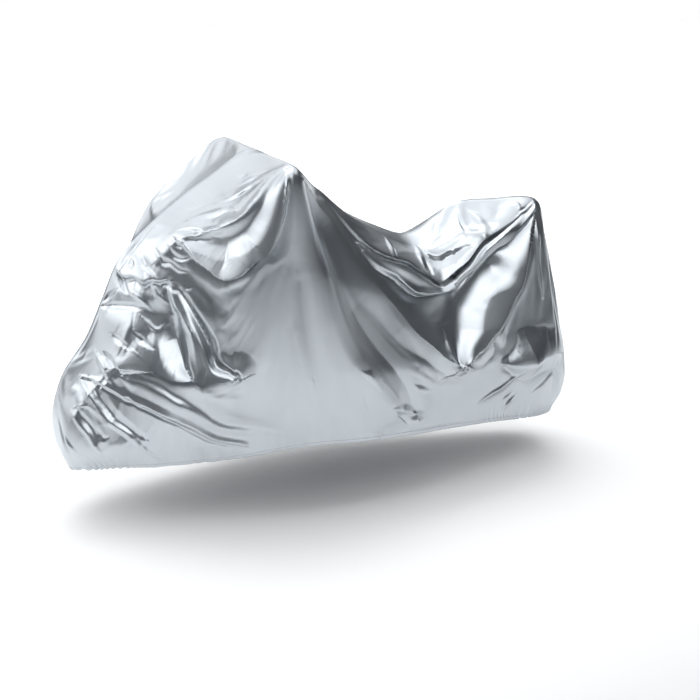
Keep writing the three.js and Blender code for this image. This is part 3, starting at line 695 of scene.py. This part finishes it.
# Silver-coated polyester taffeta: the metal pigment in the coating makes it read as soft satin metal, with
# broad highlights. The coating is a little darker and duller in patches a hand wide, and finely crinkled.
silver = bpy.data.materials.new("silver_coated_taffeta")
silver.use_nodes = True
tree = silver.node_tree
tree.nodes.clear()
cloth_place = add(tree, "ShaderNodeUVMap", {"uv_map": "cloth"}).outputs["UV"]
patches = add(tree, "ShaderNodeTexNoise", Vector=cloth_place, Scale=7, Detail=4, Roughness=0.55)
tint = add(tree, "ShaderNodeMix", {"data_type": "RGBA"}, i0=patches.outputs["Fac"])
tint.inputs[6].default_value = to_linear("#bcc2c7")
tint.inputs[7].default_value = to_linear("#cacfd3")
dull = add(tree, "ShaderNodeMapRange", i0=patches.outputs["Fac"], i3=0.27, i4=0.35)
crinkle = add(tree, "ShaderNodeTexNoise", Vector=cloth_place, Scale=160, Detail=3, Roughness=0.5)
bump = add(tree, "ShaderNodeBump", Strength=0.05, Distance=0.001, Height=crinkle.outputs["Fac"])

# The plain weave: its threads are 0.3 mm apart, and it is drawn four times as coarse, so that it shows close
# by. The wave texture repeats every WAVE_PERIOD of its own units.
THREAD_SPACING = 4 * 0.3 * MM
WAVE_PERIOD = 2 * math.pi / 20
threads = []
for way in ("X", "Y"):
    bands = {"wave_type": "BANDS", "bands_direction": way}
    wave = add(tree, "ShaderNodeTexWave", bands, Vector=cloth_place, Scale=WAVE_PERIOD / THREAD_SPACING,
               Distortion=0.6, Detail=1)
    threads.append(wave.outputs["Fac"])
weave = add(tree, "ShaderNodeMath", {"operation": "MAXIMUM"}, i0=threads[0], i1=threads[1])
woven = add(tree, "ShaderNodeBump", Strength=0.12, Distance=0.0002, Height=weave.outputs[0],
            Normal=bump.outputs["Normal"])

# The stitches: one row holds the turned hem and one runs beside the centre seam. The thread is 0.4 mm thick,
# and is drawn four times as thick, so that the rows show
HEM_STITCHES = (HEM_DEPTH - 2) * MM
SEAM_STITCHES = 7 * MM
STITCH_HALF = 4 * 0.2 * MM
STITCH_EVERY = 5 * MM
STITCH_GAP = STITCH_EVERY / 7
edge_place = add(tree, "ShaderNodeUVMap", {"uv_map": "edges"}).outputs["UV"]
from_edges = add(tree, "ShaderNodeSeparateXYZ", Vector=edge_place)
rows_off = []
for way, place in (("X", HEM_STITCHES), ("Y", SEAM_STITCHES)):
    off = add(tree, "ShaderNodeMath", {"operation": "SUBTRACT"}, i0=from_edges.outputs[way], i1=place)
    rows_off.append(add(tree, "ShaderNodeMath", {"operation": "ABSOLUTE"}, i0=off.outputs[0]).outputs[0])
nearest = add(tree, "ShaderNodeMath", {"operation": "MINIMUM"}, i0=rows_off[0], i1=rows_off[1])
on_row = add(tree, "ShaderNodeMath", {"operation": "LESS_THAN"}, i0=nearest.outputs[0], i1=STITCH_HALF)
along_row = add(tree, "ShaderNodeSeparateXYZ", Vector=cloth_place).outputs["X"]
stitch_part = add(tree, "ShaderNodeMath", {"operation": "PINGPONG"}, i0=along_row, i1=STITCH_EVERY / 2)
on_stitch = add(tree, "ShaderNodeMath", {"operation": "GREATER_THAN"},
                i0=stitch_part.outputs[0], i1=STITCH_GAP)
stitch = add(tree, "ShaderNodeMath", {"operation": "MULTIPLY"},
             i0=on_row.outputs[0], i1=on_stitch.outputs[0])
sewn = add(tree, "ShaderNodeBump", Strength=0.5, Distance=0.0006, Height=stitch.outputs[0],
           Normal=woven.outputs["Normal"])
thread = add(tree, "ShaderNodeMix", {"data_type": "RGBA"}, i0=stitch.outputs[0], i6=tint.outputs[2])
thread.inputs[7].default_value = to_linear("#9aa1a6")
shader = add(tree, "ShaderNodeBsdfPrincipled", Metallic=0.95, Base_Color=thread.outputs[2],
             Roughness=dull.outputs[0], Normal=sewn.outputs["Normal"])
add(tree, "ShaderNodeOutputMaterial", Surface=shader.outputs["BSDF"])

left_panel.data.materials.append(silver)
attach(left_panel, "root")
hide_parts("panel_left")

# The right side panel
# It is cut to the mirror outline of the left one, of the same cloth, and sewn to it along the centre seam. It
# hangs in folds of its own, because its peak stands further forward.
RIGHT_CHANGES = {
    "brow": {"ridge": (-622, 104, 706)},
    "lower face": {"ridge": (-540, 184, 824)},
    "upper face": {"ridge": (-404, 284, 918)},
    "peaks": {"ridge": (PEAK_X - 43, PEAK_OUT - 4, PEAK_TOP - 3)},
    "behind the peaks": {"ridge": (-128, 222, 900)},
}
RIGHT_FOLDS = [
    Fold("hollow under the face", (-5, -20, -6), 46, 44,
         path=[(-212, 350), (-250, 340), (-300, 320), (-350, 250), (-375, 190)]),
    Fold("pouch under the hollow", (4, 24, 5), 46, 70,
         path=[(-208, 400), (-235, 480), (-290, 460), (-350, 330), (-400, 240)]),
    Fold("trough below the peak", (-4, -18, -8), 52, 52,
         path=[(-198, 380), (-192, 620), (-170, 860), (-150, 1060)]),
    Fold("trough behind the peak", (-4, -20, -10), 54, 52,
         path=[(-182, 370), (-115, 490), (-25, 590), (60, 720)]),
    Fold("pocket edge from the peak", (4, 16, 26), 100, 46,
         path=[(-158, 345), (-60, 295), (60, 345), (190, 405), (320, 500)]),
    Fold("pocket edge from the tail", (26, 20, 4), 110, 46,
         path=[(320, 500), (440, 480), (540, 400), (640, 230), (690, 20)]),
    Fold("upper swag", (3, 20, 3), 66, 44,
         path=[(-90, 215), (20, 205), (130, 215), (240, 230), (340, 250), (470, 205), (600, 110), (690, 20)]),
    Fold("flute down to the ledge", (5, 20, 18), 46, 50, path=[(-420, 200), (-412, 330), (-400, 480)]),
    Fold("ledge of the front", (6, 20, 16), 84, 46,
         path=[(-600, 200), (-520, 310), (-430, 470), (-350, 570)]),
    Fold("long fold off the nose", (8, 18, 6), 42, 46,
         path=[(-690, 80), (-640, 190), (-560, 350), (-470, 560), (-370, 780)]),
    Fold("short fold off the nose", (6, 14, 5), 46, 46, path=[(-755, 100), (-700, 200), (-640, 340)]),
    Fold("hollow of the tail side", (-5, -14, -8), 56, 56, path=[(688, 120), (665, 330), (640, 520)]),
    Fold("roll round the rear", (5, 13, 5), 40, 56, path=[(560, 570), (660, 605), (760, 500), (825, 330)]),
]
right_side = hanging_side(RIGHT_CHANGES)
RIGHT_HELD = [(PEAK_X - 43, PEAK_OUT - 4, PEAK_TOP - 3, 60), (748, 30, 770, 50), (600, 60, 770, 60)]
right_keep = share_from_edges(right_side, **FOLD_FADE)
right_grid, right_firm = hang_folds(right_side, right_side, RIGHT_FOLDS, right_keep)
RIGHT_LOOSE = [
    (-560, 120, 740, 190), (-660, 110, 540, 190), (-740, 120, 320, 170), (-400, 210, 820, 150),
    (260, 160, 640, 220), (330, 230, 400, 130), (700, 130, 420, 170), (-20, 310, 560, 120),
    (740, 120, 160, 130),
]
right_grid = settle(right_grid, right_firm, RIGHT_HELD, RIGHT_LOOSE)
right_panel = panel_piece("cover_right", finish_edges(right_grid, right_side), 1)
right_panel.data.materials.append(silver)
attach(right_panel, "root")
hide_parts("panel_right")

# The floor and the studio
# A plain white floor under the cover, where the ground would be. The walls of the studio are darker than its
# ceiling and floor, and the silver cloth shows them on its upright folds. Beyond the back of the floor the
# camera sees white.
GROUND = -0.130
FLOOR_REACH = 450
FLOOR_BACK = 38
floor_mesh = bpy.data.meshes.new("floor")
corners = [(-FLOOR_REACH, -FLOOR_REACH, GROUND), (FLOOR_REACH, -FLOOR_REACH, GROUND),
           (FLOOR_REACH, FLOOR_BACK, GROUND), (-FLOOR_REACH, FLOOR_BACK, GROUND)]
floor_mesh.from_pydata(corners, [], [(0, 1, 2, 3)])
floor = bpy.data.objects.new("floor", floor_mesh)
bpy.context.scene.collection.objects.link(floor)
paper = bpy.data.materials.new("white_paper_backdrop")
paper.use_nodes = True
paper.node_tree.nodes["Principled BSDF"].inputs["Base Color"].default_value = to_linear("#f4f4f4")
paper.node_tree.nodes["Principled BSDF"].inputs["Roughness"].default_value = 0.9
floor_mesh.materials.append(paper)

world = bpy.data.worlds.new("studio")
bpy.context.scene.world = world
world.use_nodes = True
sky = world.node_tree
sky.nodes.clear()
direction = add(sky, "ShaderNodeTexCoord").outputs["Generated"]
towards = add(sky, "ShaderNodeSeparateXYZ", Vector=direction).outputs
WALLS_BY_HEIGHT = [(0.0, "#2a2e33"), (0.3, "#4a4f55"), (0.6, "#74787d"), (1.0, "#a0a4a8")]
WALLS_BY_SIDE = [(0.3, "#ffffff"), (0.95, "#7a7f84")]
shades = []
for towards_way, stops in ((towards["Z"], WALLS_BY_HEIGHT), (towards["X"], WALLS_BY_SIDE)):
    shade = add(sky, "ShaderNodeValToRGB", Fac=towards_way)
    while len(shade.color_ramp.elements) < len(stops):
        shade.color_ramp.elements.new(0.5)
    for element, (place, colour) in zip(shade.color_ramp.elements, stops):
        element.position = place
        element.color = to_linear(colour)
    shades.append(shade.outputs["Color"])
dimmed = add(sky, "ShaderNodeVectorMath", {"operation": "MULTIPLY"}, i0=shades[0], i1=shades[1])
walls = add(sky, "ShaderNodeBackground", Color=dimmed.outputs["Vector"], Strength=1.0)
pale = add(sky, "ShaderNodeBackground", Color=to_linear("#ffffff"), Strength=1.0)
seen = add(sky, "ShaderNodeLightPath").outputs["Is Camera Ray"]
behind = add(sky, "ShaderNodeMixShader", i0=seen, i1=walls.outputs[0], i2=pale.outputs[0])
add(sky, "ShaderNodeOutputWorld", Surface=behind.outputs["Shader"])

# Each lamp is a soft panel: its middle, the point that it faces, its width and height in metres, how bright
# its face is, and how many degrees wide its light spreads. The narrowed light stays off the floor further in
# front, so that the upright flank of the cover shows a darker floor than its skirt does.
LAMPS = [
    {"name": "ceiling_panel", "middle": (-1.4, 3.4, 2.8), "faces": (-1.4, 3.4, 0), "size": (9, 9.4),
     "glow": 1.15, "spread": 180},
    {"name": "front_panel", "middle": (0.1, -2.6, 2.7), "faces": (0, 0, 0.5), "size": (3.4, 2.2),
     "glow": 0.64, "spread": 100},
    {"name": "left_panel", "middle": (-3.8, 1.0, 1.7), "faces": (-0.5, 0, 0.5), "size": (3.6, 2.4),
     "glow": 0.42, "spread": 100},
    {"name": "near_floor_panel", "middle": (0, -0.95, 1.9), "faces": (0, -0.95, 0), "size": (3.2, 0.5),
     "glow": 0.4, "spread": 50},
    {"name": "far_floor_panel", "middle": (16, 21, 6), "faces": (16, 21, 0), "size": (56, 40),
     "glow": 1.15, "spread": 70},
]
for row in LAMPS:
    light = bpy.data.lights.new(row["name"], "AREA")
    light.shape = "RECTANGLE"
    light.size, light.size_y = row["size"]
    light.energy = row["glow"] * math.pi * light.size * light.size_y
    light.spread = math.radians(row["spread"])
    panel = bpy.data.objects.new(row["name"], light)
    panel.location = row["middle"]
    panel.rotation_euler = (Vector(row["faces"]) - Vector(row["middle"])).to_track_quat("-Z", "Y").to_euler()
    panel.visible_camera = False
    bpy.context.scene.collection.objects.link(panel)
bpy.context.scene.view_settings.view_transform = "Standard"
